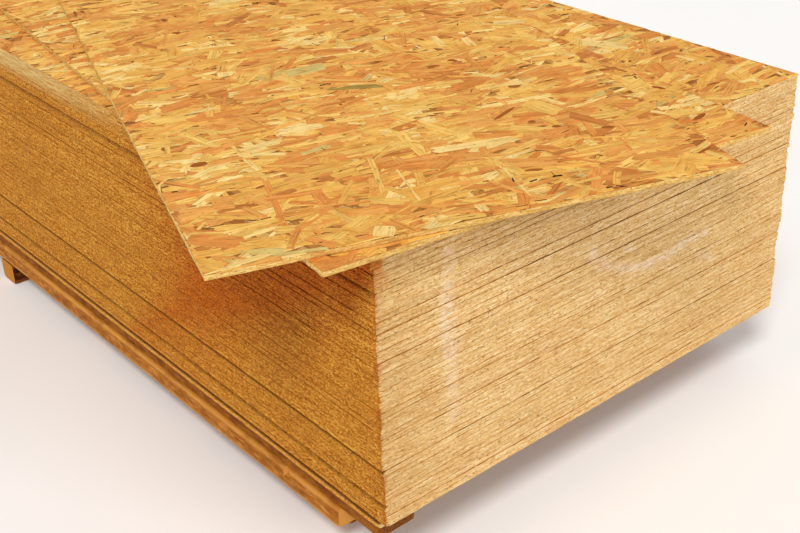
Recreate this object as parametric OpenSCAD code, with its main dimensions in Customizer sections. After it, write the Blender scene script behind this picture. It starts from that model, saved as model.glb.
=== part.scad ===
/*
  Stack of oriented strand board.

  A tall pile of full sheets lies square on a base sheet. Under it three
  upper rails and three lower rails run lengthwise, and five bearers lie
  across on the floor. Two narrower sheets lie loose on top, turned a
  little, with their near corners hanging over the long side.

  X runs along the sheets, Y across them and Z up. The near end is at +X
  and the near side at -Y. The origin is on the floor, in the middle of
  the pile.
*/

/* [Sheets] */
// Length of a sheet
sheet_l = 2500; // [2440:10:2500]
// Width of a sheet
sheet_w = 1250; // [1220:10:1250]
// Thickness of a sheet
sheet_t = 12; // [9:1:22]
// Air between two sheets, which are never quite flat
sheet_gap = 0.2; // [0.1:0.1:1]
// Extra air where one lift of sheets was set down on the next
lift_gap = 0.8; // [0:0.1:2]
// Largest shift of one sheet from its lift
sheet_shift = 1.2; // [0:0.1:3]
// Largest shift of a lift from its place in the pile
lift_shift = 1.8; // [0:0.1:5]
// Turn of the topmost sheets of the pile
top_turn = 0.25; // [0:0.05:0.6]

/* [Loose sheets] */
// Width of a loose sheet, which is cut narrower than the pile
loose_w = 1050; // [900:10:1250]
// Overhang of the lower loose sheet's near corner past the near end
lower_over_x = 13; // [0:1:200]
// Overhang of the lower loose sheet's near corner past the near side
lower_over_y = 118; // [0:1:250]
// Turn of the lower loose sheet
lower_turn = 8; // [0:0.5:12]
// Distance of the upper loose sheet's near corner from the near end
upper_back_x = 96; // [0:1:200]
// Overhang of the upper loose sheet's near corner past the near side
upper_over_y = 281; // [0:1:350]
// Turn of the upper loose sheet
upper_turn = 19; // [0:0.5:22]

/* [Base sheet and rails] */
// Thickness of the base sheet
base_t = 18; // [12:1:22]
// Distance of the base sheet's near end from the end of the pile
base_setback = 20; // [0:1:60]
// Width of a rail
rail_w = 95; // [70:5:120]
// Height of an upper rail
upper_rail_h = 35; // [25:1:40]
// Distance of the outer upper rails from the side of the pile
upper_rail_inset = 6; // [0:1:20]
// Distance of the near upper rail's end from the end of the pile
near_rail_setback = 31; // [20:1:60]
// Distance of the other upper rails' ends from the end of the pile
upper_rail_setback = 62; // [50:1:120]
// Height of a lower rail
lower_rail_h = 50; // [30:1:60]
// Distance of the lower rails' ends from the end of the pile
lower_rail_setback = 158; // [100:1:200]

/* [Bearers] */
// Width of a bearer
bearer_w = 75; // [60:1:120]
// Height of a bearer
bearer_h = 65; // [45:1:100]
// Length of a bearer
bearer_l = 1180; // [1100:10:1220]
// Distance from the middle of one bearer to the next
bearer_pitch = 500; // [400:10:540]

/* [Hidden] */
sheet_count = 50;
// Numbers of the sheets that end a lift.
lift_tops = [4, 11, 18, 25, 31, 36, 43];
top_turned = 3;
rail_names = ["near", "middle", "far"];
bearer_count = 5;
pushed_bearer = 2;
sawn_edge = 3;
worn_corner = 14;

half_l = sheet_l / 2;
half_w = sheet_w / 2;
sheet_pitch = sheet_t + sheet_gap;
rail_count = len(rail_names);

z_lower_rail = bearer_h;
z_upper_rail = z_lower_rail + lower_rail_h;
z_base = z_upper_rail + upper_rail_h;
z_pile = z_base + base_t;
z_loose = z_pile + sheet_count * sheet_pitch + len(lift_tops) * lift_gap;

function sheet_name(i) = str("sheet_", i < 10 ? "0" : "", i);
function rail_name(kind, i) = str(kind, "_rail_", rail_names[i]);

// A repeatable value from -1 to 1 that jumps about from one i to the next.
function scatter(i, salt) =
    let (v = 43.758 * sin(i * 127.1 + salt * 311.7)) 2 * (v - floor(v)) - 1;

// How many whole lifts lie under sheet i.
function lifts_under(i) = len([for (top = lift_tops) if (top < i) top]);

function sheet_z(i) = z_pile + (i - 1) * sheet_pitch + lifts_under(i) * lift_gap;

// Middle of a rail across the pile, the near rail being number 0.
function rail_y(i, inset) = (i - 1) * (half_w - inset - rail_w / 2);

// One sheet of the pile, the lowest being number 1.
module sheet(i) {
    lift = lifts_under(i);
    shift_x = sheet_shift * scatter(i, 1) + lift_shift * scatter(lift, 3);
    shift_y = sheet_shift * scatter(i, 2) + lift_shift * scatter(lift, 4);
    turn = i > sheet_count - top_turned ? top_turn : 0;
    color("burlywood")
        translate([shift_x, shift_y, sheet_z(i)])
            rotate([0, 0, -turn])
                translate([-half_l, -half_w, 0])
                    cube([sheet_l, sheet_w, sheet_t]);
}

// A loose sheet is placed by its near corner. Layer 0 rests on the pile.
module loose_sheet(corner_x, corner_y, turn, layer) {
    color("goldenrod")
        translate([corner_x, corner_y, z_loose + layer * sheet_pitch])
            rotate([0, 0, -turn])
                translate([-sheet_l, 0, 0])
                    cube([sheet_l, loose_w, sheet_t]);
}

module base_sheet() {
    color("tan")
        translate([-half_l, -half_w, z_base])
            cube([sheet_l - base_setback, sheet_w, base_t]);
}

// An upper rail's corner at the near end and the outside is worn round.
module upper_rail(i) {
    setback = i == 0 ? near_rail_setback : upper_rail_setback;
    l = sheet_l - setback;
    color("sienna")
        translate([-half_l, rail_y(i, upper_rail_inset) - rail_w / 2, z_upper_rail])
            linear_extrude(upper_rail_h)
                union() {
                    translate([0, worn_corner])
                        square([l, rail_w - worn_corner]);
                    square([l - worn_corner, rail_w]);
                    translate([l - worn_corner, worn_corner])
                        circle(worn_corner, $fn = 64);
                }
}

// Section of sawn timber, standing on 0, with its four edges eased.
module sawn_section(w, h) {
    polygon([
        [-w / 2 + sawn_edge, 0],
        [w / 2 - sawn_edge, 0],
        [w / 2, sawn_edge],
        [w / 2, h - sawn_edge],
        [w / 2 - sawn_edge, h],
        [-w / 2 + sawn_edge, h],
        [-w / 2, h - sawn_edge],
        [-w / 2, sawn_edge]]);
}

module lower_rail(i) {
    color("peru")
        translate([-half_l, rail_y(i, 0), z_lower_rail])
            rotate([90, 0, 90])
                linear_extrude(sheet_l - lower_rail_setback)
                    sawn_section(rail_w, lower_rail_h);
}

module bearer() {
    rotate([90, 0, 0])
        linear_extrude(bearer_l, center = true)
            sawn_section(bearer_w, bearer_h);
}

// The bearers end flush with the far side, but one is pushed out to the near side.
module bearers() {
    end_gap = half_w - bearer_l / 2;
    color("darkgoldenrod")
        for (i = [1 : bearer_count]) {
            x = (i - (bearer_count + 1) / 2) * bearer_pitch;
            y = i == pushed_bearer ? -end_gap : end_gap;
            translate([x, y, 0]) bearer();
        }
}

for (i = [1 : sheet_count])
    sheet(i);
loose_sheet(half_l + lower_over_x, -half_w - lower_over_y, lower_turn, 0);  // loose_sheet_lower
loose_sheet(half_l - upper_back_x, -half_w - upper_over_y, upper_turn, 1);  // loose_sheet_upper
base_sheet();
for (i = [0 : rail_count - 1])
    upper_rail(i);
for (i = [0 : rail_count - 1])
    lower_rail(i);
bearers();
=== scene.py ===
import math

import bpy
import numpy as np
from mathutils import Matrix, Vector


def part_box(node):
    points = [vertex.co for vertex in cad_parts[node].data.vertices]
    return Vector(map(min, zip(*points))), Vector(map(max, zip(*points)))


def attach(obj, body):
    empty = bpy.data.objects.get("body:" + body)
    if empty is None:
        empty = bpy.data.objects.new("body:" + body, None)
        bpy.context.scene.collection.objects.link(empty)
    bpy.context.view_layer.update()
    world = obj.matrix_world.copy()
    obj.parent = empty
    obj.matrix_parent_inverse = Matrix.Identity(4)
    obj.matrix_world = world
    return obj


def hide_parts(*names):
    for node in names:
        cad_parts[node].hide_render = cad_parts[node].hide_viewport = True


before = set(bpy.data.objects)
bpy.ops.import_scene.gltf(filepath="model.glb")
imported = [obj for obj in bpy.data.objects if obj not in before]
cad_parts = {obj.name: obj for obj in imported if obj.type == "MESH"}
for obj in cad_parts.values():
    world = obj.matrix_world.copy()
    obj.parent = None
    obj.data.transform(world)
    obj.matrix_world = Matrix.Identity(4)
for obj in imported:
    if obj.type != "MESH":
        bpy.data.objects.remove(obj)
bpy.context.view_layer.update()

# A pile of oriented strand board on rails and bearers, with two loose sheets on top. Every
# length is in metres. The ragged edges, the strands on the visible faces and the worn timber
# are built as meshes; grain, pores, stains and chalk are node materials.

# ---------------------------------------------------------------- materials

WHITE = (1.0, 1.0, 1.0)


class Nodes:
    """A material's node tree, with one short call for each kind of node used here."""

    def __init__(self, name, roughness=0.6, specular=0.4):
        self.material = bpy.data.materials.new(name)
        self.material.use_nodes = True
        self.tree = self.material.node_tree
        self.shader = self.tree.nodes["Principled BSDF"]
        self.shader.inputs["Roughness"].default_value = roughness
        self.shader.inputs["Specular IOR Level"].default_value = specular

    def put(self, socket, value):
        if isinstance(value, bpy.types.NodeSocket):
            self.tree.links.new(value, socket)
        elif value is not None:
            socket.default_value = value

    def add(self, kind, *values, out=0, **settings):
        node = self.tree.nodes.new("ShaderNode" + kind)
        for key, value in settings.items():
            setattr(node, key, value)
        for socket, value in zip(node.inputs, values):
            self.put(socket, value)
        return node.outputs[out]

    def math(self, operation, a, b=None):
        return self.add("Math", a, b, operation=operation)

    def blend(self, *parts):
        """A weighted sum; each part is (value, weight)."""
        total = None
        for value, weight in parts:
            share = self.math("MULTIPLY", value, weight)
            total = share if total is None else self.math("ADD", total, share)
        return total

    def place(self):
        """A point's place in the object's own frame, in metres."""
        return self.add("TexCoord", out=3)

    def stretch(self, vector, x, y, z):
        """A place scaled along each axis, which sets how many features a noise has per metre."""
        return self.add("VectorMath", vector, (x, y, z), operation="MULTIPLY")

    def noise(self, vector, scale=1.0, detail=2.0, roughness=0.5):
        node = self.tree.nodes.new("ShaderNodeTexNoise")
        self.put(node.inputs["Vector"], vector)
        node.inputs["Scale"].default_value = scale
        node.inputs["Detail"].default_value = detail
        node.inputs["Roughness"].default_value = roughness
        return node.outputs["Fac"]

    def cells(self, vector, feature="F1", out="Distance"):
        node = self.tree.nodes.new("ShaderNodeTexVoronoi")
        node.feature = feature
        self.put(node.inputs["Vector"], vector)
        node.inputs["Scale"].default_value = 1.0
        return node.outputs[out]

    def ramp(self, value, *stops):
        """Colours or grey levels between stops, each (position, colour or level)."""
        node = self.tree.nodes.new("ShaderNodeValToRGB")
        elements = node.color_ramp.elements
        while len(elements) < len(stops):
            elements.new(0.5)
        for element, (position, colour) in zip(elements, stops):
            element.position = position
            level = colour if isinstance(colour, tuple) else (colour,) * 3
            element.color = (*level[:3], 1.0)
        self.put(node.inputs[0], value)
        return node.outputs[0]

    def mix(self, factor, a, b, blend="MIX"):
        node = self.tree.nodes.new("ShaderNodeMix")
        node.data_type = "RGBA"
        node.blend_type = blend
        node.clamp_factor = True
        for index, value in ((0, factor), (6, a), (7, b)):
            if isinstance(value, tuple):
                value = (*value[:3], 1.0)
            self.put(node.inputs[index], value)
        return node.outputs[2]

    def shade(self, factor, colour, tints):
        return self.mix(factor, colour, tints, "MULTIPLY")

    def spots(self, value, low, high, strength, colour, spot):
        """Spots of another colour where a noise rises from low to high."""
        return self.mix(self.math("MULTIPLY", self.ramp(value, (low, 0.0), (high, 1.0)), strength),
                        colour, spot)

    def attribute(self, name, colour=False):
        node = self.tree.nodes.new("ShaderNodeAttribute")
        node.attribute_name = name
        return node.outputs["Color" if colour else "Fac"]

    def facing(self):
        """How far a face looks along x, along y and along z, as three numbers from 0 to 1."""
        normal = self.add("NewGeometry", out=3)
        node = self.tree.nodes.new("ShaderNodeSeparateXYZ")
        self.put(node.inputs[0], self.add("VectorMath", normal, operation="ABSOLUTE"))
        return node.outputs[0], node.outputs[1], node.outputs[2]

    def finish(self, colour, bump=None, depth=0.0004, roughness=None, strength=0.6):
        self.put(self.shader.inputs["Base Color"], colour)
        self.put(self.shader.inputs["Roughness"], roughness)
        if bump is not None:
            node = self.tree.nodes.new("ShaderNodeBump")
            node.inputs["Strength"].default_value = strength
            node.inputs["Distance"].default_value = depth
            self.put(node.inputs["Height"], bump)
            self.put(self.shader.inputs["Normal"], node.outputs[0])
        return self.material


def linear(red, green, blue):
    """A colour given as screen values from 0 to 255, as linear light."""
    return tuple(
        v / 3294.6 if v <= 10 else ((v / 255 + 0.055) / 1.055) ** 2.4
        for v in (red, green, blue)
    )


def strand_material():
    """The pressed face of a sheet: every strand has its own tint, grain and a thin dark outline of
    painted shade.
    """
    n = Nodes("osb_strands", specular=0.14)
    along = n.tree.nodes.new("ShaderNodeUVMap")
    along.uv_map = "strand"
    grain = n.noise(n.stretch(along.outputs[0], 12.0, 270.0, 1.0), detail=3.0, roughness=0.6)
    broad = n.noise(n.stretch(along.outputs[0], 7.0, 60.0, 1.0), detail=2.0)
    fibre = n.noise(n.stretch(along.outputs[0], 30.0, 1100.0, 1.0), detail=1.0)
    tint = n.attribute("tint", colour=True)
    shade = n.ramp(grain, (0.32, (0.70, 0.62, 0.50)),
                   (0.45, (0.97, 0.96, 0.94)), (0.68, (1.12, 1.13, 1.12)))
    colour = n.shade(0.9, tint, shade)
    warm = n.ramp(broad, (0.34, (0.89, 0.81, 0.68)), (0.5, WHITE), (0.66, (1.05, 1.10, 1.16)))
    colour = n.shade(0.85, colour, warm)
    colour = n.shade(0.4, colour, n.ramp(fibre, (0.28, 0.76), (0.42, 1.0)))
    # Blotches that run over several strands, where the press darkened the face.
    blotch = n.noise(n.place(), scale=26.0, detail=3.0, roughness=0.6)
    colour = n.shade(0.75, colour, n.ramp(blotch, (0.34, (0.92, 0.81, 0.64)),
                                          (0.5, (1.0, 1.0, 0.99)), (0.66, (1.03, 1.07, 1.10))))
    specks = n.noise(n.stretch(n.place(), 130.0, 130.0, 130.0), detail=1.0, roughness=0.4)
    colour = n.spots(specks, 0.66, 0.74, 0.55, colour, linear(150, 92, 40))
    cracks = n.noise(n.stretch(along.outputs[0], 17.0, 300.0, 1.0), detail=1.0, roughness=0.4)
    colour = n.spots(cracks, 0.64, 0.71, 0.7, colour, linear(132, 82, 32))
    # The dark outline is painted shade in the gaps between strands; it is broken, so that only
    # parts of a strand stand out.
    broken = n.noise(n.place(), scale=48.0, detail=2.0)
    outline_shade = n.math("MULTIPLY", n.attribute("rim"), n.ramp(broken, (0.40, 0.0), (0.56, 1.0)))
    colour = n.mix(outline_shade, colour, linear(88, 54, 20))
    large = n.noise(n.place(), scale=2.2, detail=2.0)
    colour = n.shade(0.6, colour, n.ramp(large, (0.35, (0.95, 0.90, 0.82)), (0.65, WHITE)))
    return n.finish(colour, bump=n.blend((grain, 0.7), (fibre, 0.3)), depth=0.0005,
                    roughness=n.ramp(grain, (0.3, 0.72), (0.7, 0.50)), strength=0.55)


def face_material():
    """The face of a sheet where other sheets hide it: broad strands in the shader alone."""
    n = Nodes("osb_face", specular=0.08)
    place = n.place()
    lengthwise = n.stretch(place, 14.0, 55.0, 30.0)
    across = n.stretch(place, 55.0, 14.0, 30.0)
    first = n.cells(lengthwise, out="Color")
    second = n.cells(across, out="Color")
    edge_first = n.cells(lengthwise, feature="DISTANCE_TO_EDGE")
    edge_second = n.cells(across, feature="DISTANCE_TO_EDGE")
    choose = n.ramp(n.noise(place, scale=9.0, detail=1.0), (0.48, 0.0), (0.52, 1.0))
    tone = n.mix(choose, first, second)
    edge = n.mix(choose, edge_first, edge_second)
    colour = n.ramp(tone, (0.1, linear(146, 86, 34)), (0.4, linear(180, 116, 50)),
                    (0.65, linear(196, 138, 68)), (0.9, linear(210, 164, 96)))
    colour = n.mix(n.ramp(edge, (0.0, 0.7), (0.035, 0.0)), colour, linear(100, 60, 30))
    grain = n.noise(n.stretch(place, 40.0, 220.0, 200.0), detail=2.0)
    colour = n.shade(0.5, colour, n.ramp(grain, (0.3, 0.75), (0.6, 1.0)))
    return n.finish(colour, bump=grain, depth=0.0003,
                    roughness=n.ramp(grain, (0.3, 0.75), (0.7, 0.55)))


def edge_material(name, end, side, joint_end, joint_side, chalked=False):
    """The sawn edge of a sheet: pressed strands seen from the side.

    end and side are (dark, middle, pale) for the edges across and along the sheet, joint_end
    and joint_side say how dark their arrises are.
    """
    n = Nodes(name, specular=0.08)
    place = n.place()
    toward_x, toward_y, _ = n.facing()
    on_end = n.ramp(n.math("SUBTRACT", toward_x, toward_y), (0.45, 0.0), (0.55, 1.0))
    layers = n.noise(n.stretch(place, 26.0, 26.0, 430.0), detail=3.0, roughness=0.62)
    grains = n.noise(n.stretch(place, 120.0, 120.0, 300.0), detail=2.0, roughness=0.65)
    fine = n.noise(n.stretch(place, 240.0, 240.0, 1400.0), detail=1.0, roughness=0.6)
    value = n.blend((layers, 0.50), (fine, 0.14), (grains, 0.36))
    end_colour = n.ramp(value, *zip((0.38, 0.5, 0.61), end))
    # The side, cut along the sheet, is grainy; the end is streaked.
    speckle = n.noise(n.stretch(place, 170.0, 210.0, 480.0), detail=2.0, roughness=0.7)
    coarse = n.blend((speckle, 0.74), (layers, 0.26))
    side_colour = n.ramp(coarse, *zip((0.39, 0.5, 0.60), side))
    colour = n.mix(on_end, side_colour, end_colour)
    colour = n.shade(1.0, colour, n.ramp(n.attribute("tone"), (0.0, (0.84, 0.79, 0.70)),
                                         (0.5, WHITE), (1.0, (1.08, 1.14, 1.20))))
    # Short dark pores and dashes, where strands lie across the cut.
    pores = n.noise(n.stretch(place, 150.0, 150.0, 330.0), detail=1.0, roughness=0.4)
    colour = n.spots(pores, 0.64, 0.73, 0.68, colour, linear(104, 58, 20))
    dashes = n.noise(n.stretch(place, 62.0, 62.0, 360.0), detail=2.0, roughness=0.5)
    dash_colour = n.mix(on_end, linear(128, 66, 20), linear(170, 114, 54))
    colour = n.spots(dashes, 0.56, 0.70, 0.5, colour, dash_colour)
    # The arrises where two sheets meet are darker, in broken lines.
    away = n.math("ABSOLUTE", n.math("SUBTRACT", n.attribute("across"), 0.5))
    joint = n.ramp(away, (0.34, 0.0), (0.46, 1.0))
    breaks = n.noise(n.stretch(place, 16.0, 16.0, 80.0), detail=2.0)
    broken = n.ramp(breaks, (0.38, 0.1), (0.62, 1.0))
    strength = n.mix(on_end, (joint_side,) * 3, (joint_end,) * 3)
    colour = n.mix(n.math("MULTIPLY", n.math("MULTIPLY", joint, broken), strength), colour,
                   n.mix(on_end, linear(120, 62, 18), linear(166, 110, 54)))
    # Painted shadow: the near long side is darkened where the loose sheets hang over it, standing
    # in for their cast shadow.
    colour = n.shade(n.attribute("painted_overhang_shadow"), colour, (0.84, 0.50, 0.20))
    # Painted shade in the open joints between sheets.
    colour = n.mix(n.attribute("painted_joint_shade"), colour, linear(76, 34, 6))
    bleached = n.mix(n.ramp(layers, (0.4, 0.0), (0.6, 1.0)),
                     linear(206, 160, 86), linear(238, 212, 146))
    colour = n.mix(n.attribute("pale"), colour, bleached)
    flecked = n.ramp(grains, (0.4, 1.0), (0.62, 0.45))
    colour = n.mix(n.math("MULTIPLY", n.attribute("rubbed"), flecked), colour,
                   linear(164, 90, 30))
    broad = n.noise(place, scale=3.5, detail=3.0)
    colour = n.shade(0.6, colour, n.ramp(broad, (0.34, (0.92, 0.86, 0.78)), (0.6, WHITE)))
    if chalked:
        ragged = n.noise(n.stretch(place, 55.0, 55.0, 230.0), detail=3.0)
        chalk = n.math("MULTIPLY", n.attribute("chalk"), n.ramp(ragged, (0.40, 0.1), (0.62, 1.0)))
        colour = n.mix(chalk, colour, linear(244, 222, 200))
    return n.finish(colour, bump=value, depth=0.0008, strength=0.7,
                    roughness=n.ramp(value, (0.35, 0.85), (0.65, 0.62)))


def timber_material(name, axis, dark, middle, pale, end_grain):
    """Sawn timber that runs along axis 0 (x) or 1 (y), with stains and its own end colour."""
    n = Nodes(name, specular=0.1)
    place = n.place()

    def run(lengthwise, crosswise):
        """The place scaled by one number along the timber and another across it."""
        scale = [crosswise] * 3
        scale[axis] = lengthwise
        return n.stretch(place, *scale)

    grain = n.noise(run(16.0, 330.0), detail=4.0, roughness=0.6)
    fine = n.noise(run(40.0, 900.0), detail=1.0)
    value = n.blend((grain, 0.7), (fine, 0.3))
    mottle = n.noise(run(38.0, 90.0), detail=3.0, roughness=0.6)
    shade = n.blend((value, 0.5), (mottle, 0.5))
    colour = n.ramp(shade, (0.37, dark), (0.5, middle), (0.63, pale))
    stains = n.noise(run(9.0, 24.0), detail=4.0, roughness=0.65)
    colour = n.shade(0.8, colour, n.ramp(stains, (0.36, (0.66, 0.54, 0.36)), (0.56, WHITE)))
    # Paler along the eased edges: partly wear, partly a painted highlight where the arrises catch
    # the light.
    wear = n.math("MULTIPLY", n.attribute("rim"), n.ramp(stains, (0.34, 0.3), (0.5, 0.95)))
    colour = n.mix(wear, colour, pale)
    toward = n.facing()[axis]
    rings = n.noise(n.stretch(place, 160.0, 160.0, 160.0), detail=3.0)
    ends = n.mix(n.ramp(rings, (0.4, 0.0), (0.8, 0.5)), end_grain, pale)
    colour = n.mix(n.ramp(toward, (0.6, 0.0), (0.8, 1.0)), colour, ends)
    return n.finish(colour, bump=value, depth=0.0009, strength=0.7,
                    roughness=n.ramp(value, (0.35, 0.8), (0.65, 0.6)))


def floor_material():
    n = Nodes("studio_floor", roughness=0.9, specular=0.1)
    soft = n.noise(n.place(), scale=1.5, detail=2.0)
    return n.finish(n.ramp(soft, (0.3, 0.93), (0.7, 0.95)))


# Dark, middle and pale tones of the sawn edges.
END_TONES = (linear(197, 150, 86), linear(227, 187, 124), linear(244, 219, 170))
SIDE_TONES = (linear(146, 76, 8), linear(206, 132, 34), linear(236, 180, 78))
# The loose sheets' edges are paler than the pile's, their long sides palest: partly their own
# colour, partly painted light on their thin edges.
LOOSE_END = (linear(196, 146, 70), linear(222, 178, 98), linear(242, 212, 144))
LOOSE_SIDE = (linear(206, 154, 70), linear(234, 194, 106), linear(248, 226, 152))
BASE_SIDE = (linear(172, 100, 26), linear(220, 150, 54), linear(244, 192, 98))

strands = strand_material()
hidden_face = face_material()
pile_edge = edge_material("osb_edge", END_TONES, SIDE_TONES, joint_end=0.20, joint_side=0.12,
                          chalked=True)
loose_edge = edge_material("osb_edge_pale", LOOSE_END, LOOSE_SIDE, joint_end=0.25,
                           joint_side=0.1)
base_edge = edge_material("base_edge", END_TONES, BASE_SIDE, joint_end=0.4, joint_side=0.3)
# The upper rails sit back in the recess under the base sheet: their darker tones and end grain are
# painted shade.
shaded_upper_wood = timber_material("upper_rail_wood_shaded", 0, linear(116, 62, 8), linear(146, 82, 14),
                             linear(180, 114, 38), linear(112, 60, 20))
lower_wood = timber_material("lower_rail_wood", 0, linear(150, 84, 16), linear(180, 110, 30),
                             linear(218, 154, 72), linear(220, 154, 72))
# The bearers' dark long faces are painted shade under the pile; their end grain is their own
# colour.
shaded_bearer_wood = timber_material("shaded_bearer_wood", 1, linear(52, 20, 6), linear(92, 44, 16),
                              linear(160, 98, 40), linear(204, 134, 42))

# ---------------------------------------------------------------- meshes


def add_object(name, points, faces, materials, indices=None):
    mesh = bpy.data.meshes.new(name)
    mesh.from_pydata(np.asarray(points, dtype=float).tolist(), [], faces)
    for material in materials:
        mesh.materials.append(material)
    if indices is not None:
        mesh.polygons.foreach_set("material_index", np.asarray(indices, dtype=np.int32))
    mesh.update()
    piece = bpy.data.objects.new(name, mesh)
    bpy.context.collection.objects.link(piece)
    return piece


def add_attribute(piece, name, values, kind="FLOAT"):
    layer = piece.data.attributes.new(name, kind, "POINT")
    field = "color" if kind == "FLOAT_COLOR" else "value"
    layer.data.foreach_set(field, np.ascontiguousarray(values, dtype=np.float32).ravel())


def declare(piece, node):
    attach(piece, "root")
    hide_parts(node)


class Board:
    """A rectangular sheet's frame, from its CAD node: x runs along it, y across it."""

    def __init__(self, node):
        points = np.array([v.co[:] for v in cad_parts[node].data.vertices])
        flat = points[:, :2]
        corner = {(sx, sy): flat[np.argmax(flat @ np.array((sx, sy)))]
                  for sx in (-1, 1) for sy in (-1, 1)}
        self.low, self.top = points[:, 2].min(), points[:, 2].max()
        self.centre = sum(corner.values()) / 4
        self.half_x = np.linalg.norm(corner[1, -1] - corner[-1, -1]) / 2
        self.half_y = np.linalg.norm(corner[1, 1] - corner[1, -1]) / 2
        self.x_axis = (corner[1, -1] - corner[-1, -1]) / (2 * self.half_x)
        self.y_axis = (corner[1, 1] - corner[1, -1]) / (2 * self.half_y)

    def world(self, x, y, z):
        flat = self.centre + np.outer(x, self.x_axis) + np.outer(y, self.y_axis)
        return np.column_stack((flat, np.broadcast_to(z, len(flat))))

    def local(self, flat):
        away = flat - self.centre
        return away @ self.x_axis, away @ self.y_axis

    def covers(self, flat, margin):
        x, y = self.local(flat)
        return (abs(x) < self.half_x - margin) & (abs(y) < self.half_y - margin)


# Space between the points round a sheet, and the width of a strand's end in the sawn edge.
EDGE_SPACING = 0.008
STRAND_END_WIDTH = (0.012, 0.06)
SAW_ROUGHNESS = 0.00012
POINTS_PER_CHIP = 14
SHALLOWEST_CHIP = 0.3
# How likely a chip is to take its first, second and third point.
CHIP_WIDTHS = (1.0, 0.6, 0.3)
CORNER_WEAR = 0.0022
NO_WEAR = (0, 0, 0, 0, 0)


def steps(rng, count, deepest):
    """A depth for each of count points: constant over one strand, then another for the next."""
    mean = sum(STRAND_END_WIDTH) / 2
    pieces = int(count * EDGE_SPACING / mean * 2) + 4
    ends = np.cumsum(rng.uniform(*STRAND_END_WIDTH, pieces)) / EDGE_SPACING
    depths = deepest * rng.random(pieces) ** 2
    return depths[np.searchsorted(ends, np.arange(count))]


def chips(rng, count, how_many, deepest):
    """Places where a bit of the arris has broken away, 1 to 3 points wide."""
    depth = np.zeros(count)
    at = rng.integers(0, count, how_many)
    for spread, share in enumerate(CHIP_WIDTHS):
        keep = rng.random(how_many) < share
        place = (at[keep] + spread) % count
        share_of_deepest = rng.uniform(SHALLOWEST_CHIP, 1.0, keep.sum())
        depth[place] = np.maximum(depth[place], share_of_deepest * deepest)
    return depth


def outline(board):
    """Points round a board in its own frame, and the direction inward at each."""
    nx = int(round(2 * board.half_x / EDGE_SPACING))
    ny = int(round(2 * board.half_y / EDGE_SPACING))
    xs = np.linspace(-board.half_x, board.half_x, nx + 1)
    ys = np.linspace(-board.half_y, board.half_y, ny + 1)
    x = np.concatenate((xs[:-1], np.full(ny, xs[-1]), xs[:0:-1], np.full(ny, xs[0])))
    y = np.concatenate((np.full(nx, ys[0]), ys[:-1], np.full(nx, ys[-1]), ys[:0:-1]))
    inward_x = np.where(x == xs[0], 1.0, np.where(x == xs[-1], -1.0, 0.0))
    inward_y = np.where(y == ys[0], 1.0, np.where(y == ys[-1], -1.0, 0.0))
    return x, y, inward_x, inward_y


def board_body(board, rng, heights, wear, strand_depth, chip_depth=0.0015, side_wear=NO_WEAR):
    """A sheet's body, its edges broken into strand ends: points, faces and height (0 to 1).

    heights are the rows of points up the edge, from 0 to 1, and wear is how far each row is
    set back all round, side_wear on the long sides alone.
    """
    x, y, inward_x, inward_y = outline(board)
    count = len(x)
    points, across = [], []
    thickness = board.top - board.low
    for level, row_wear, row_side_wear in zip(heights, wear, side_wear):
        depth = steps(rng, count, strand_depth) + row_wear
        depth += np.where(inward_y != 0, row_side_wear, 0.0)
        depth += rng.random(count) * SAW_ROUGHNESS
        if row_wear > 0:
            depth += chips(rng, count, count // POINTS_PER_CHIP, chip_depth)
        corner = (inward_x != 0) & (inward_y != 0)
        depth[corner] += CORNER_WEAR * rng.random() ** 2
        points.append(board.world(x + inward_x * depth, y + inward_y * depth,
                                  board.low + level * thickness))
        across.append(np.full(count, level))
    ring = np.arange(count)
    after = np.roll(ring, -1)
    faces = []
    for row in range(len(heights) - 1):
        low, high = row * count, (row + 1) * count
        faces += np.column_stack((low + ring, low + after, high + after, high + ring)).tolist()
    faces.append(ring[::-1].tolist())
    faces.append((ring + (len(heights) - 1) * count).tolist())
    return np.concatenate(points), faces, np.concatenate(across)


# Where chalk was wiped on the near end of the pile: (y, z) of each stroke's two ends, its half
# width and its strength.
CHALK = (
    ((-0.446, 0.715), (-0.455, 0.62), 0.013, 0.42),
    ((-0.455, 0.60), (-0.449, 0.50), 0.016, 0.58),
    ((-0.449, 0.50), (-0.440, 0.345), 0.013, 0.40),
    ((-0.045, 0.56), (-0.02, 0.53), 0.016, 0.48),
    ((0.00, 0.520), (0.06, 0.492), 0.008, 0.55),
    ((0.05, 0.490), (0.13, 0.472), 0.009, 0.60),
    ((0.12, 0.470), (0.25, 0.478), 0.010, 0.62),
    ((0.26, 0.485), (0.33, 0.478), 0.009, 0.60),
    ((0.31, 0.430), (0.37, 0.400), 0.008, 0.45),
    ((0.05, 0.540), (0.08, 0.530), 0.005, 0.70),
)
# A stroke fades out at this many half widths from its middle line, and reaches this far back
# from the end.
CHALK_FADE = 1.6
CHALK_REACH = 0.005


def chalk_marks(points, near_end):
    """How much chalk each point carries, from 0 to 1, for points at the near end alone."""
    spot = points[:, 1:3]
    marks = np.zeros(len(points))
    for start, end, half_width, strength in CHALK:
        start, end = np.array(start), np.array(end)
        run = end - start
        t = np.clip((spot - start) @ run / (run @ run), 0.0, 1.0)
        away = np.linalg.norm(spot - start - np.outer(t, run), axis=1)
        marks = np.maximum(marks, strength * np.clip(CHALK_FADE - away / half_width, 0.0, 1.0))
    return np.where(points[:, 0] > near_end - CHALK_REACH, marks, 0.0)


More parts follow.
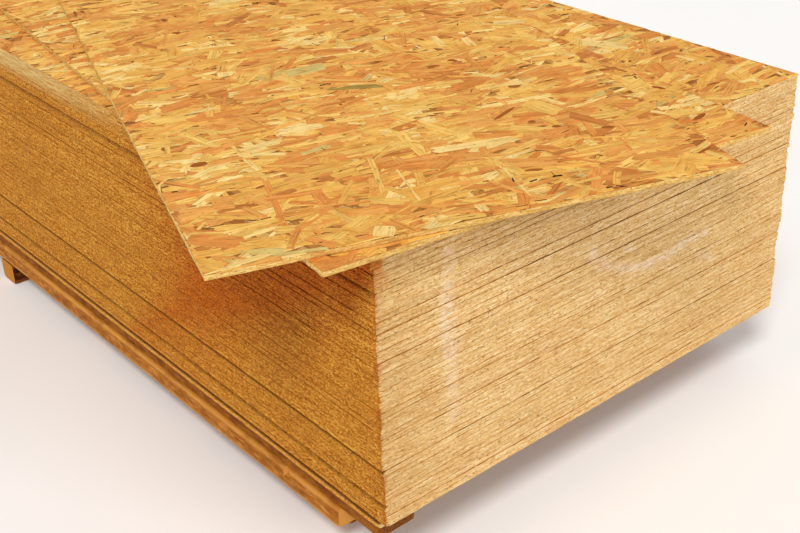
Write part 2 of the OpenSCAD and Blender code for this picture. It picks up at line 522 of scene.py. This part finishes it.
# Tints of the strands from dark to pale, and how common each is.
BROWN, ORANGE, AMBER = linear(204, 130, 60), linear(226, 149, 72), linear(231, 164, 84)
GOLD, STRAW, CREAM = linear(237, 180, 88), linear(242, 195, 104), linear(248, 214, 138)
TINTS = ((BROWN, 0.05), (ORANGE, 0.17), (AMBER, 0.22), (GOLD, 0.27), (STRAW, 0.19),
         (CREAM, 0.10))
GREEN, OLIVE = linear(218, 192, 116), linear(164, 138, 66)
VOID, KNOT = linear(46, 20, 5), linear(162, 90, 28)

# Strands of the upper loose sheet that stand out: place along and across the sheet from its
# middle, length, width, turn in degrees, tint.
MARKED_STRANDS = (
    (0.55, -0.01, 0.145, 0.026, 76, OLIVE),
    (0.53, 0.035, 0.022, 0.006, 80, VOID),
    (0.88, -0.01, 0.205, 0.036, 4, STRAW),
    (1.00, 0.37, 0.100, 0.050, 88, BROWN),
    (0.985, 0.38, 0.034, 0.018, 70, KNOT),
    (0.82, 0.16, 0.130, 0.065, 98, AMBER),
    (0.83, 0.22, 0.095, 0.014, 124, KNOT),
    (1.04, -0.34, 0.240, 0.016, -6, ORANGE),
    (0.81, -0.43, 0.040, 0.028, 104, KNOT),
    (0.78, -0.22, 0.120, 0.022, 101, ORANGE),
    (0.84, -0.20, 0.075, 0.024, 107, GREEN),
    (1.00, -0.02, 0.120, 0.042, 79, ORANGE),
    (1.07, -0.09, 0.160, 0.006, -4, CREAM),
    (1.14, 0.10, 0.150, 0.006, -3, CREAM),
    (1.15, 0.13, 0.018, 0.006, 100, VOID),
    (1.15, 0.18, 0.020, 0.007, 84, VOID),
    (1.22, -0.31, 0.070, 0.022, 37, ORANGE),
    (1.06, 0.33, 0.150, 0.013, -8, ORANGE),
    (0.76, 0.43, 0.120, 0.026, 101, ORANGE),
    (0.82, 0.44, 0.070, 0.024, 106, GREEN),
    (0.83, 0.31, 0.100, 0.055, 21, STRAW),
)

# The waves of the rolling field, in radians a metre.
WAVES = 9
WAVE_NUMBERS = (9.0, 30.0)
LARGEST_PHASE = 6.28
WAVE_SPREAD = 2.1


def rolling_field(rng, x, y):
    """A smooth value that rolls up and down over the sheet, about 0 on average and 1 high."""
    value = np.zeros_like(x)
    for _ in range(WAVES):
        wave = rng.uniform(*WAVE_NUMBERS)
        heading = rng.uniform(0, 2 * math.pi)
        along = x * math.cos(heading) + y * math.sin(heading)
        value += np.sin(wave * along + rng.uniform(0, LARGEST_PHASE))
    return value / WAVE_SPREAD


# A strand's corners in half lengths and half widths: four at each ragged end, one on each side.
STRAND_ENDS = np.array((-1.0, 0.05, 1.0, 1.0, 1.0, 1.0, -0.1, -1.0, -1.0, -1.0))
STRAND_SIDES = np.array((-1.0, -1.0, -1.0, -0.35, 0.3, 1.0, 1.0, 1.0, 0.25, -0.4))
CORNERS = len(STRAND_ENDS)

# Strands: typical size, spread of its logarithm, smallest and largest.
STRAND_LENGTH = (0.092, 0.36, 0.030, 0.180)
STRAND_WIDTH = (0.0215, 0.50, 0.005, 0.052)
# Most strands lie across the sheet, turned from that by a little.
CROSSWISE_SHARE, CROSSWISE_SPREAD = 0.68, 0.26
# How deep a strand's top lies at most, and the power that spreads the depths.
DEEPEST_TOP, DEPTH_POWER = 0.00085, 0.8
# How far a strand's tint follows the rolling field, and how far chance.
FIELD_PART, CHANCE_PART = 0.36, 0.8
GREEN_SHARE = 0.009
TINT_SPREAD = (0.93, 1.06)
CORNER_TINT_SPREAD = 0.045
# Slots and knots: share of the strands, lengths, widths, and depth of the top.
SLOT_SHARE, SLOT_LENGTH, SLOT_WIDTH, SLOT_DEPTH = 0.034, (0.008, 0.030), (0.0022, 0.0052), 0.00002
KNOT_SHARE, KNOT_LENGTH, KNOT_WIDTH, KNOT_DEPTH = 0.005, (0.020, 0.050), (0.008, 0.018), 0.00003
# How far out along a knot its widest corners lie, so that its ends run to a point.
KNOT_SHOULDER = 0.45
# A marked strand shorter than the first lies level with the top; one narrower than the second
# has a slot's outline.
SHORT_MARK, NARROW_MARK = 0.05, 0.008
# How far a strand lies under a sheet on top before it is left out.
HIDDEN_MARGIN = 0.09
RAGGED_ENDS, TAPERED_ENDS = 0.22, 0.28
# Width of a strand's sloping rim, as a length and as a share of its width.
RIM_WIDTH, RIM_SHARE = 0.0014, 0.22
LEAN_ALONG, LEAN_ACROSS = 0.0018, 0.006
STRAND_THICKNESS = (0.0003, 0.0007)
LOWEST_TOP, LOWEST_RIM = -0.0016, -0.00185
# How far the strands stay back from the sheet's edge, at their rims and inside them.
RIM_MARGIN, INNER_MARGIN, BORDER = 0.0003, 0.0012, 0.0014
# Share of the strands with a plain outline of painted shade, its strength, that of the others, and
# that of slots and knots.
OUTLINED_SHARE, OUTLINED, FAINT, SLOT_OUTLINE = 0.4, (0.5, 1.0), (0.0, 0.35), 0.3
# The grain starts at a different place on each strand.
GRAIN_SHIFT = 8.0


def some_sizes(rng, total, typical, spread, smallest, largest):
    return np.clip(rng.lognormal(math.log(typical), spread, total), smallest, largest)


def strand_field(board, rng, pitch, skip=None, marked=()):
    """Thin strands laid over a board's top face, each a closed flake with ragged ends.

    Returns points, faces, tint, rim and the place along and across each strand.
    """
    nx, ny = int(2 * board.half_x / pitch), int(2 * board.half_y / pitch)
    gx, gy = np.meshgrid((np.arange(nx) + 0.5) / nx, (np.arange(ny) + 0.5) / ny)
    total = nx * ny
    cx = (gx.ravel() + rng.uniform(-0.5, 0.5, total) / nx) * 2 * board.half_x - board.half_x
    cy = (gy.ravel() + rng.uniform(-0.5, 0.5, total) / ny) * 2 * board.half_y - board.half_y
    crosswise = rng.random(total) < CROSSWISE_SHARE
    turn = np.where(crosswise, math.pi / 2 + rng.normal(0.0, CROSSWISE_SPREAD, total),
                    rng.uniform(0.0, math.pi, total))
    length = some_sizes(rng, total, *STRAND_LENGTH)
    width = some_sizes(rng, total, *STRAND_WIDTH)
    sunk = rng.random(total) ** DEPTH_POWER * DEEPEST_TOP
    score = rolling_field(rng, cx, cy) * FIELD_PART + rng.normal(0.0, CHANCE_PART, total)
    rank = np.argsort(np.argsort(score)) / total
    shares = np.cumsum([share for _, share in TINTS])
    tint = np.array([colour for colour, _ in TINTS])[np.searchsorted(shares[:-1], rank)]
    green = rng.random(total) < GREEN_SHARE
    tint[green] = GREEN
    tint = tint * rng.uniform(*TINT_SPREAD, (total, 1))
    # A few slots between strands show as short dark slivers, and a few strands hold a knot.
    dark = rng.random(total) < SLOT_SHARE
    length[dark] = rng.uniform(*SLOT_LENGTH, dark.sum())
    width[dark] = rng.uniform(*SLOT_WIDTH, dark.sum())
    sunk[dark] = SLOT_DEPTH
    tint[dark] = VOID
    brown = rng.random(total) < KNOT_SHARE
    length[brown] = rng.uniform(*KNOT_LENGTH, brown.sum())
    width[brown] = rng.uniform(*KNOT_WIDTH, brown.sum())
    sunk[brown] = KNOT_DEPTH
    tint[brown] = KNOT
    if marked:
        extra = np.array([mark[:5] for mark in marked])
        cx, cy = np.concatenate((cx, extra[:, 0])), np.concatenate((cy, extra[:, 1]))
        length = np.concatenate((length, extra[:, 2]))
        width = np.concatenate((width, extra[:, 3]))
        turn = np.concatenate((turn, np.radians(extra[:, 4])))
        tint = np.concatenate((tint, np.array([mark[5] for mark in marked])))
        sunk = np.concatenate((sunk, np.where(extra[:, 2] < SHORT_MARK, 0.0, KNOT_DEPTH)))
        dark = np.concatenate((dark, extra[:, 3] < NARROW_MARK))
        brown = np.concatenate((brown, [mark[5] == KNOT for mark in marked]))
        total += len(marked)
    if skip is not None:
        keep = ~skip.covers(board.world(cx, cy, 0.0)[:, :2], HIDDEN_MARGIN)
        cx, cy, turn, length, width = cx[keep], cy[keep], turn[keep], length[keep], width[keep]
        sunk, tint, dark, brown = sunk[keep], tint[keep], dark[keep], brown[keep]
        total = keep.sum()
    ragged = rng.uniform(0.0, RAGGED_ENDS, (total, CORNERS))
    taper = rng.uniform(0.0, TAPERED_ENDS, (total, CORNERS))
    on_side = abs(STRAND_SIDES) == 1
    u = STRAND_ENDS * (1 - ragged) * length[:, None] / 2
    v = STRAND_SIDES * (1 - np.where(on_side, taper, 0.0)) * width[:, None] / 2
    # A knot is drawn out to a point at each end.
    u[brown] *= np.where(on_side, KNOT_SHOULDER, 1.0)
    rim = np.minimum(RIM_WIDTH, width * RIM_SHARE)[:, None]
    inner_u = u - np.sign(u) * np.minimum(rim, abs(u))
    inner_v = v * (1 - 2 * rim / width[:, None])
    lean_u = rng.normal(0.0, LEAN_ALONG, total)[:, None]
    lean_v = rng.normal(0.0, LEAN_ACROSS, total)[:, None]
    inner_z = -sunk[:, None] + inner_u * lean_u + inner_v * lean_v
    inner_z -= np.maximum(inner_z.max(axis=1), 0.0)[:, None]
    outer_z = inner_z - rng.uniform(*STRAND_THICKNESS, total)[:, None]
    outer_z = np.maximum(outer_z, LOWEST_RIM)
    inner_z = np.maximum(inner_z, LOWEST_TOP)
    cos, sin = np.cos(turn)[:, None], np.sin(turn)[:, None]

    def lay(a, b, margin):
        x, y = cx[:, None] + a * cos - b * sin, cy[:, None] + a * sin + b * cos
        return (np.clip(x, -board.half_x + margin, board.half_x - margin),
                np.clip(y, -board.half_y + margin, board.half_y - margin))

    outer_x, outer_y = lay(u, v, RIM_MARGIN)
    inner_x, inner_y = lay(inner_u, inner_v, INNER_MARGIN)
    x = np.concatenate((outer_x, inner_x), axis=1)
    y = np.concatenate((outer_y, inner_y), axis=1)
    z = np.concatenate((outer_z, inner_z), axis=1).ravel() + board.top
    points = board.world(x.ravel(), y.ravel(), z)
    ring = np.arange(CORNERS)
    after = (ring + 1) % CORNERS
    quads = np.column_stack((ring, after, after + CORNERS, ring + CORNERS))
    start = (np.arange(total) * 2 * CORNERS)[:, None]
    faces = (quads.ravel()[None, :] + start).reshape(-1, 4).tolist()
    faces += (ring[None, :] + CORNERS + start).tolist()
    faces += (ring[::-1][None, :] + start).tolist()
    # Only some strands have a plain dark outline of painted shade, and none has it along the
    # board's own edge.
    outline_depth = np.where(rng.random(total) < OUTLINED_SHARE, rng.uniform(*OUTLINED, total),
                             rng.uniform(*FAINT, total))
    outline_depth[dark | brown] = SLOT_OUTLINE
    at_border = (abs(x) > board.half_x - BORDER) | (abs(y) > board.half_y - BORDER)
    rims = np.concatenate((np.ones((total, CORNERS)), np.zeros((total, CORNERS))), axis=1)
    rims = np.where(at_border, 0.0, rims * outline_depth[:, None])
    tints = np.ones((total, 2 * CORNERS, 4))
    drift = 1 + rng.normal(0.0, CORNER_TINT_SPREAD, (total, CORNERS, 1))
    tints[:, :, :3] = tint[:, None, :] * np.concatenate((drift, drift), axis=1)
    shift = rng.uniform(0.0, GRAIN_SHIFT, (total, 2, 1))
    along = np.concatenate((u, inner_u), axis=1) + shift[:, 0]
    over = np.concatenate((v, inner_v), axis=1) + shift[:, 1]
    return (points, faces, tints.reshape(-1, 4), rims.ravel(),
            np.column_stack((along.ravel(), over.ravel())))


def stranded_sheet(name, board, rng, pitch, edge, heights, wear, depth, skip=None, marked=()):
    """A sheet whose top face can be seen: its body with a field of strands on top."""
    body, body_faces, across = board_body(board, rng, heights, wear, depth)
    points, faces, tints, rims, along = strand_field(board, rng, pitch, skip, marked)
    offset = len(body)
    faces = [[i + offset for i in face] for face in faces]
    indices = [0] * (len(body_faces) - 2) + [1, 1] + [2] * len(faces)
    piece = add_object(name, np.concatenate((body, points)), body_faces + faces,
                       (edge, hidden_face, strands), indices)
    blank = np.ones((offset, 4)) * 0.5
    add_attribute(piece, "tint", np.concatenate((blank, tints)), "FLOAT_COLOR")
    add_attribute(piece, "rim", np.concatenate((np.zeros(offset), rims)))
    add_attribute(piece, "across", np.concatenate((across, np.full(len(points), 0.5))))
    add_attribute(piece, "tone", np.full(offset + len(points), 0.5))
    for attribute in ("chalk", "painted_joint_shade"):
        add_attribute(piece, attribute, np.zeros(offset + len(points)))
    if edge is pile_edge:
        add_attribute(piece, "pale", bleach(np.concatenate((body, points)), board.top))
    uvs = np.concatenate((np.zeros((offset, 2)), along))
    corners = np.empty(len(piece.data.loops), dtype=np.int32)
    piece.data.loops.foreach_get("vertex_index", corners)
    layer = piece.data.uv_layers.new(name="strand")
    layer.uv.foreach_set("vector", uvs[corners].astype(np.float32).ravel())
    return piece


# ---------------------------------------------------------------- the pile


# How far down from the top the weather has bleached the edges, where along the pile that
# starts, over what length it comes in, and how strong it is.
BLEACH_DEPTH, BLEACH_START, BLEACH_RUN, BLEACHED = 0.062, 0.45, 0.5, 0.85


def bleach(points, top):
    """How pale the weather has made each point: the top few edges of the far part of the pile."""
    below_top = 1 - (top - points[:, 2]) / BLEACH_DEPTH
    far_along = (BLEACH_START - points[:, 0]) / BLEACH_RUN
    return BLEACHED * np.clip(below_top * 2, 0.0, 1.0) * np.clip(far_along, 0.0, 1.0)


# Joints that have opened, by the number of the sheet beneath (0 is the base sheet), and how dark
# each shows: the number sets the depth of the groove and the painted shade in it.
OPEN_JOINTS = {0: 1.0, 4: 0.6, 11: 1.0, 18: 0.1, 25: 0.15, 31: 0.1, 36: 0.15, 43: 0.5}

PILE = sorted(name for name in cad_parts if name.startswith("sheet_"))
lower_loose = Board("loose_sheet_lower")
upper_loose = Board("loose_sheet_upper")
pile_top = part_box(PILE[-1])[1].z
near_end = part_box(PILE[0])[1].x

# The loose sheets overhang the near long side, and their shadow there is painted into its colour.
# Distances outward at which a sheet above is looked for, and how far along the pile that place
# moves for each metre of depth.
SHADOW_REACH = np.linspace(0.015, 0.285, 19)
SHADOW_DRIFT, SHADOW_SPREAD = 0.2, 4.5
# How deep the painted shadow goes, how much deeper for each metre of overhang, and how strong it
# is.
SHADE_DEPTH, SHADE_GROWTH, SHADE_STRENGTH = 0.08, 2.2, 3.2
SIDE_STARTS = 0.60


def paint_overhang_shadow(points):
    """How much painted shadow the loose sheets cast on each point of the near long side, from 0 to
    1.
    """
    depth = pile_top - points[:, 2]
    amount = np.zeros(len(points))
    for reach in SHADOW_REACH:
        outward = points[:, :2] - np.array((0.0, reach))
        outward[:, 0] += (SHADOW_DRIFT + SHADOW_SPREAD * reach) * depth
        covered = lower_loose.covers(outward, 0.0) | upper_loose.covers(outward, 0.0)
        amount += covered * np.exp(-(depth / (SHADE_DEPTH + SHADE_GROWTH * reach)) ** 2)
    near_side = points[:, 1] < -SIDE_STARTS
    return np.clip(SHADE_STRENGTH * amount / len(SHADOW_REACH), 0.0, 1.0) * near_side


PILE_SEED, LOWER_SEED, UPPER_SEED, BASE_SEED, RAIL_SEED, BEARER_SEED = 100, 11, 12, 21, 30, 40

# Space between strands; rows of points up an edge; how far each is set back; depth of the
# breaks between strands.
TOP_PITCH, LOWER_PITCH, UPPER_PITCH = 0.026, 0.025, 0.0242
TOP_ROWS, TOP_WEAR, TOP_BREAKS = (0, 0.3, 0.7, 0.89), (0.0005, 0, 0, 0.0001), 0.0004
LOOSE_ROWS, LOOSE_WEAR, LOOSE_BREAKS = (0, 0.25, 0.6, 0.89), (0.0004, 0, 0, 0.0001), 0.0005
LOW_ROW, SHUT_ROW, OPEN_ROW = 0.16, 0.84, 0.76
SHEET_WEAR, SHEET_BREAKS, SHEET_CHIPS = (0.0004, 0, 0, 0.0004), 0.0006, 0.0011
BASE_ROWS, BASE_WEAR, BASE_BREAKS = (0, 0.2, 0.5, OPEN_ROW, 1), (0.0008, 0, 0, 0, 0.0005), 0.0008

# A joint darker than this has a taller groove. Set back on the side: the bottom of the sheet on
# top, the shoulder of the sheet beneath and its top.
PLAINLY_OPEN = 0.4
JOINT_BOTTOM, JOINT_SHOULDER, JOINT_TOP = 0.003, 0.0006, 0.0035
BASE_SHOULDER = 0.0005
# How dark the painted shade in a joint is at the shoulder, and how much of it shows on the ends.
SHOULDER_SHADE, BASE_SHOULDER_SHADE, END_JOINT_SHADE = 0.75, 0.8, 0.1
# How close to a side or to the near end a point is to count as on it.
SIDE_DEPTH, END_DEPTH = 0.006, 0.01

SHEET_TONE, SHEET_TONE_SPREAD, POINT_TONE_SPREAD, BASE_TONE = 0.52, 0.11, 0.05, 0.6
# The near end is browner towards its near corner, and rubbed along that corner's arris.
CORNER_STARTS, CORNER_RUN, CORNER_BROWN = 0.46, 0.15, 0.38
NEAR_ARRIS, RUBBED_WIDTH = 0.625, (0.003, 0.016)

for number, node in enumerate(PILE, start=1):
    rng = np.random.default_rng(PILE_SEED + number)
    board = Board(node)
    piece_name = "osb_" + node
    if node == PILE[-1]:
        piece = stranded_sheet(piece_name, board, rng, TOP_PITCH, pile_edge, TOP_ROWS, TOP_WEAR,
                               TOP_BREAKS, skip=lower_loose)
    else:
        above, below = OPEN_JOINTS.get(number, 0.0), OPEN_JOINTS.get(number - 1, 0.0)
        high_row = OPEN_ROW if above > PLAINLY_OPEN else SHUT_ROW
        points, faces, across = board_body(
            board, rng, (0, LOW_ROW, high_row, 1), SHEET_WEAR, SHEET_BREAKS, SHEET_CHIPS,
            (JOINT_BOTTOM * below, 0, JOINT_SHOULDER * above, JOINT_TOP * above))
        indices = [0] * (len(faces) - 2) + [1, 1]
        piece = add_object(piece_name, points, faces, (pile_edge, hidden_face), indices)
        add_attribute(piece, "across", across)
        tone = rng.normal(SHEET_TONE, SHEET_TONE_SPREAD)
        tone = tone + rng.normal(0, POINT_TONE_SPREAD, len(points))
        on_end = points[:, 0] > near_end - END_DEPTH
        broad_corner = np.clip((-points[:, 1] - CORNER_STARTS) / CORNER_RUN, 0.0, 1.0)
        from_arris = (points[:, 1] + NEAR_ARRIS) / rng.uniform(*RUBBED_WIDTH)
        rubbed = np.clip(1.0 - from_arris, 0.0, 1.0) * rng.uniform(0.0, 1.0)
        add_attribute(piece, "tone", np.clip(tone - on_end * CORNER_BROWN * broad_corner, 0, 1))
        add_attribute(piece, "rubbed", on_end * rubbed)
        # The loose sheets' shadow on the near long side, painted into its colour.
        add_attribute(piece, "painted_overhang_shadow", paint_overhang_shadow(points))
        add_attribute(piece, "chalk", chalk_marks(points, near_end))
        # Painted shade in the open joints, on the rows at the top, bottom and shoulder of each
        # edge.
        painted_joint_shade = np.where(across == 1, above, np.where(across == 0, below, 0.0))
        painted_joint_shade = np.where(across == OPEN_ROW, SHOULDER_SHADE * above, painted_joint_shade)
        on_side = abs(board.local(points[:, :2])[1]) > board.half_y - SIDE_DEPTH
        add_attribute(piece, "painted_joint_shade", np.where(on_side, painted_joint_shade, END_JOINT_SHADE * painted_joint_shade))
        add_attribute(piece, "pale", bleach(points, pile_top))
    declare(piece, node)

lower_piece = stranded_sheet("loose_osb_sheet_lower", lower_loose,
                             np.random.default_rng(LOWER_SEED), LOWER_PITCH, loose_edge,
                             LOOSE_ROWS, LOOSE_WEAR, LOOSE_BREAKS, skip=upper_loose)
declare(lower_piece, "loose_sheet_lower")

upper_piece = stranded_sheet("loose_osb_sheet_upper", upper_loose,
                             np.random.default_rng(UPPER_SEED), UPPER_PITCH, loose_edge,
                             LOOSE_ROWS, LOOSE_WEAR, LOOSE_BREAKS, marked=MARKED_STRANDS)
declare(upper_piece, "loose_sheet_upper")

# ---------------------------------------------------------------- base sheet, rails and bearers

base = Board("base_sheet")
points, faces, across = board_body(
    base, np.random.default_rng(BASE_SEED), BASE_ROWS, BASE_WEAR, BASE_BREAKS,
    side_wear=(0, 0, 0, BASE_SHOULDER, JOINT_TOP))
base_piece = add_object("base_osb_sheet", points, faces, (base_edge, hidden_face),
                        [0] * (len(faces) - 2) + [1, 1])
add_attribute(base_piece, "across", across)
add_attribute(base_piece, "tone", np.full(len(points), BASE_TONE))
# Painted shade along the top of the base sheet's edge, under the pile, and at its shoulder.
add_attribute(base_piece, "painted_joint_shade", np.where(
    across == 1, 1.0, np.where(across == OPEN_ROW, BASE_SHOULDER_SHADE, 0.0)))
declare(base_piece, "base_sheet")


def section(half_width, half_height, ease):
    """Points round a sawn section with eased edges, and 1 for each point on an edge."""
    points, rims = [], []
    inner_w, inner_h = half_width - ease, half_height - ease
    corners = ((1, 1, 0), (-1, 1, 90), (-1, -1, 180), (1, -1, 270))
    for index, (sx, sy, first) in enumerate(corners):
        for angle in (first, first + 30, first + 60, first + 90):
            points.append((sx * inner_w + ease * math.cos(math.radians(angle)),
                           sy * inner_h + ease * math.sin(math.radians(angle))))
            rims.append(1.0)
        next_x, next_y, _ = corners[(index + 1) % 4]
        for part in (0.2, 0.5, 0.8):
            mid_x = inner_w * (sx + (next_x - sx) * part)
            mid_y = inner_h * (sy + (next_y - sy) * part)
            if sx == next_x:
                mid_x = sx * half_width
            else:
                mid_y = sy * half_height
            points.append((mid_x, mid_y))
            rims.append(0.0)
    return np.array(points), np.array(rims)


# Rings of points along a timber: those near an end, the pitch of the rest, and those that
# follow a rounded near corner, in parts of its radius.
END_RINGS = (0.0, 0.002, 0.008)
RING_PITCH, RING_MARGIN = 0.025, 0.03
CORNER_RINGS = (1.0, 0.8, 0.6, 0.42, 0.28, 0.15, 0.06, 0.0)
# How far the surface lies inside the box, and how much further its arrises are worn.
SURFACE_DEPTH, SURFACE_SPREAD = 0.0002, 0.0005
ARRIS_SLOW, ARRIS_FAST, SLOW_STEPS = 0.0007, 0.0011, 18
END_REACH, END_ARRIS, END_SINK = 0.0021, 0.0012, 0.0005
CORNER_CLEARANCE = 0.0003
# The chip out of a rail's upper arris: rings round it, half its length, and its depths.
CHIP_RINGS = (-0.012, -0.008, 0.0, 0.006, 0.009)
CHIP_HALF_LENGTH, CHIP_INWARD, CHIP_DOWN = 0.0085, 0.007, 0.006


def timber(name, low, high, axis, rng, material, ease=0.003, worn=0.0, notch=None):
    """Sawn timber filling a box along axis 0 or 1, with eased edges and an uneven surface.

    worn is the radius of the rounded near corner of its high end, and notch the place where a
    chip has left the upper arris of its near side.
    """
    low, high = np.array(low), np.array(high)
    other = 1 - axis
    length = high[axis] - low[axis]
    half_width, half_height = (high[other] - low[other]) / 2, (high[2] - low[2]) / 2
    profile, rims = section(half_width, half_height, ease)
    count = len(profile)
    from_end = worn * np.array(CORNER_RINGS) if worn else np.array(END_RINGS[::-1])
    stations = np.concatenate((END_RINGS, np.arange(RING_MARGIN, length - RING_MARGIN, RING_PITCH),
                               length - from_end))
    if notch is not None:
        stations = np.sort(np.concatenate((stations, notch - low[axis] + np.array(CHIP_RINGS))))
    slow = np.interp(stations, np.linspace(0, length, SLOW_STEPS), rng.random(SLOW_STEPS))
    rings = []
    for index, s in enumerate(stations):
        depth = SURFACE_DEPTH + SURFACE_SPREAD * rng.random(count)
        depth = depth + rims * (ARRIS_SLOW * slow[index] + ARRIS_FAST * rng.random(count) ** 3)
        if min(s, length - s) < END_REACH:
            depth = depth + rims * END_ARRIS + END_SINK
        scale_w = (half_width - depth) / half_width
        scale_h = (half_height - depth) / half_height
        w, h = profile[:, 0] * scale_w, profile[:, 1] * scale_h
        if worn and s > length - worn:
            reach = s - (length - worn)
            inset = worn - math.sqrt(max(worn * worn - reach * reach, 0.0))
            w = np.maximum(w, -half_width + inset + CORNER_CLEARANCE)
        if notch is not None and abs(low[axis] + s - notch) < CHIP_HALF_LENGTH:
            chip = (w < -0.6 * half_width) & (h > 0.4 * half_height)
            w = np.where(chip, w + CHIP_INWARD, w)
            h = np.where(chip, h - CHIP_DOWN, h)
        ring = np.empty((count, 3))
        ring[:, axis] = low[axis] + s
        ring[:, other] = (low[other] + high[other]) / 2 + w
        ring[:, 2] = (low[2] + high[2]) / 2 + h
        rings.append(ring)
    points = np.concatenate(rings)
    faces = []
    ring = np.arange(count)
    after = np.roll(ring, -1)
    for index in range(len(stations) - 1):
        a, b = index * count, (index + 1) * count
        faces += np.column_stack((a + ring, b + ring, b + after, a + after)).tolist()
    faces.append(ring.tolist())
    faces.append((ring[::-1] + (len(stations) - 1) * count).tolist())
    if axis == 0:
        faces = [face[::-1] for face in faces]
    piece = add_object(name, points, faces, (material,))
    add_attribute(piece, "rim", np.tile(rims, len(stations)))
    return piece


CHIP_AT = 0.91
seed = RAIL_SEED
# Level, radius of the worn corner, width of the eased edges.
for level, worn, ease in (("upper", 0.014, 0.0015), ("lower", 0.0, 0.003)):
    for side in ("near", "middle", "far"):
        node = f"{level}_rail_{side}"
        low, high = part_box(node)
        # The upper rails take the wood with painted shade.
        wood = shaded_upper_wood if level == "upper" else lower_wood
        notch = CHIP_AT if node == "lower_rail_near" else None
        piece = timber(f"{level}_{side}_rail", low, high, 0, np.random.default_rng(seed), wood,
                       ease, worn, notch)
        declare(piece, node)
        seed += 1

# The bearers are one node: its points are split where x jumps from one bearer to the next.
BEARER_GAP = 0.1
bearer_points = np.array([v.co[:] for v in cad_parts["bearers"].data.vertices])
bearer_points = bearer_points[np.argsort(bearer_points[:, 0])]
jumps = np.flatnonzero(np.diff(bearer_points[:, 0]) > BEARER_GAP) + 1
for number, own in enumerate(np.split(bearer_points, jumps), start=1):
    piece = timber(f"bearer_{number}", own.min(axis=0), own.max(axis=0), 1,
                   np.random.default_rng(BEARER_SEED + number), shaded_bearer_wood)
    declare(piece, "bearers")

# ---------------------------------------------------------------- floor, light and camera

FLOOR_HALF = 40.0
WORLD_COLOUR, WORLD_STRENGTH = (1.0, 0.985, 0.965, 1.0), 0.43
LIGHT_COLOUR = (1.0, 0.98, 0.95)
CAMERA_PLACE = (2.7892, -1.8205, 1.8350)
# In degrees: heading from x, how far the view tips down, how far it is turned.
YAW, PITCH, ROLL = 140.794, 29.023, -1.99
SENSOR_WIDTH, LENS, FARTHEST = 36.0, 57.53, 200.0

floor_points = [(sx * FLOOR_HALF, sy * FLOOR_HALF, 0.0)
                for sx, sy in ((-1, -1), (1, -1), (1, 1), (-1, 1))]
floor = add_object("studio_floor", floor_points, [(0, 1, 2, 3)], (floor_material(),))

world = bpy.data.worlds.new("studio")
bpy.context.scene.world = world
world.use_nodes = True
background = world.node_tree.nodes["Background"]
background.inputs["Color"].default_value = WORLD_COLOUR
background.inputs["Strength"].default_value = WORLD_STRENGTH


def soft_sun(name, toward, energy, spread):
    """A wide soft lamp far away in one direction; spread is in degrees."""
    data = bpy.data.lights.new(name, "SUN")
    data.energy = energy
    data.angle = math.radians(spread)
    data.color = LIGHT_COLOUR
    lamp = bpy.data.objects.new(name, data)
    lamp.rotation_euler = Vector(toward).normalized().to_track_quat("Z", "Y").to_euler()
    bpy.context.collection.objects.link(lamp)


soft_sun("key_light", toward=(1.0, 0.25, 0.62), energy=0.90, spread=26)
soft_sun("side_light", toward=(0.55, -0.70, 1.15), energy=1.85, spread=18)

yaw, pitch, roll = math.radians(YAW), math.radians(PITCH), math.radians(ROLL)
forward = Vector((math.cos(yaw) * math.cos(pitch), math.sin(yaw) * math.cos(pitch),
                  -math.sin(pitch)))
level_right = forward.cross(Vector((0, 0, 1))).normalized()
level_up = level_right.cross(forward)
right = level_right * math.cos(roll) + level_up * math.sin(roll)
up = level_up * math.cos(roll) - level_right * math.sin(roll)
camera_data = bpy.data.cameras.new("camera")
camera_data.sensor_width = SENSOR_WIDTH
camera_data.lens = LENS
camera_data.clip_end = FARTHEST
camera = bpy.data.objects.new("camera", camera_data)
turn = Matrix((right, up, -forward)).transposed().to_4x4()
camera.matrix_world = Matrix.Translation(CAMERA_PLACE) @ turn
bpy.context.collection.objects.link(camera)
bpy.context.scene.camera = camera
bpy.context.scene.view_settings.view_transform = "Standard"
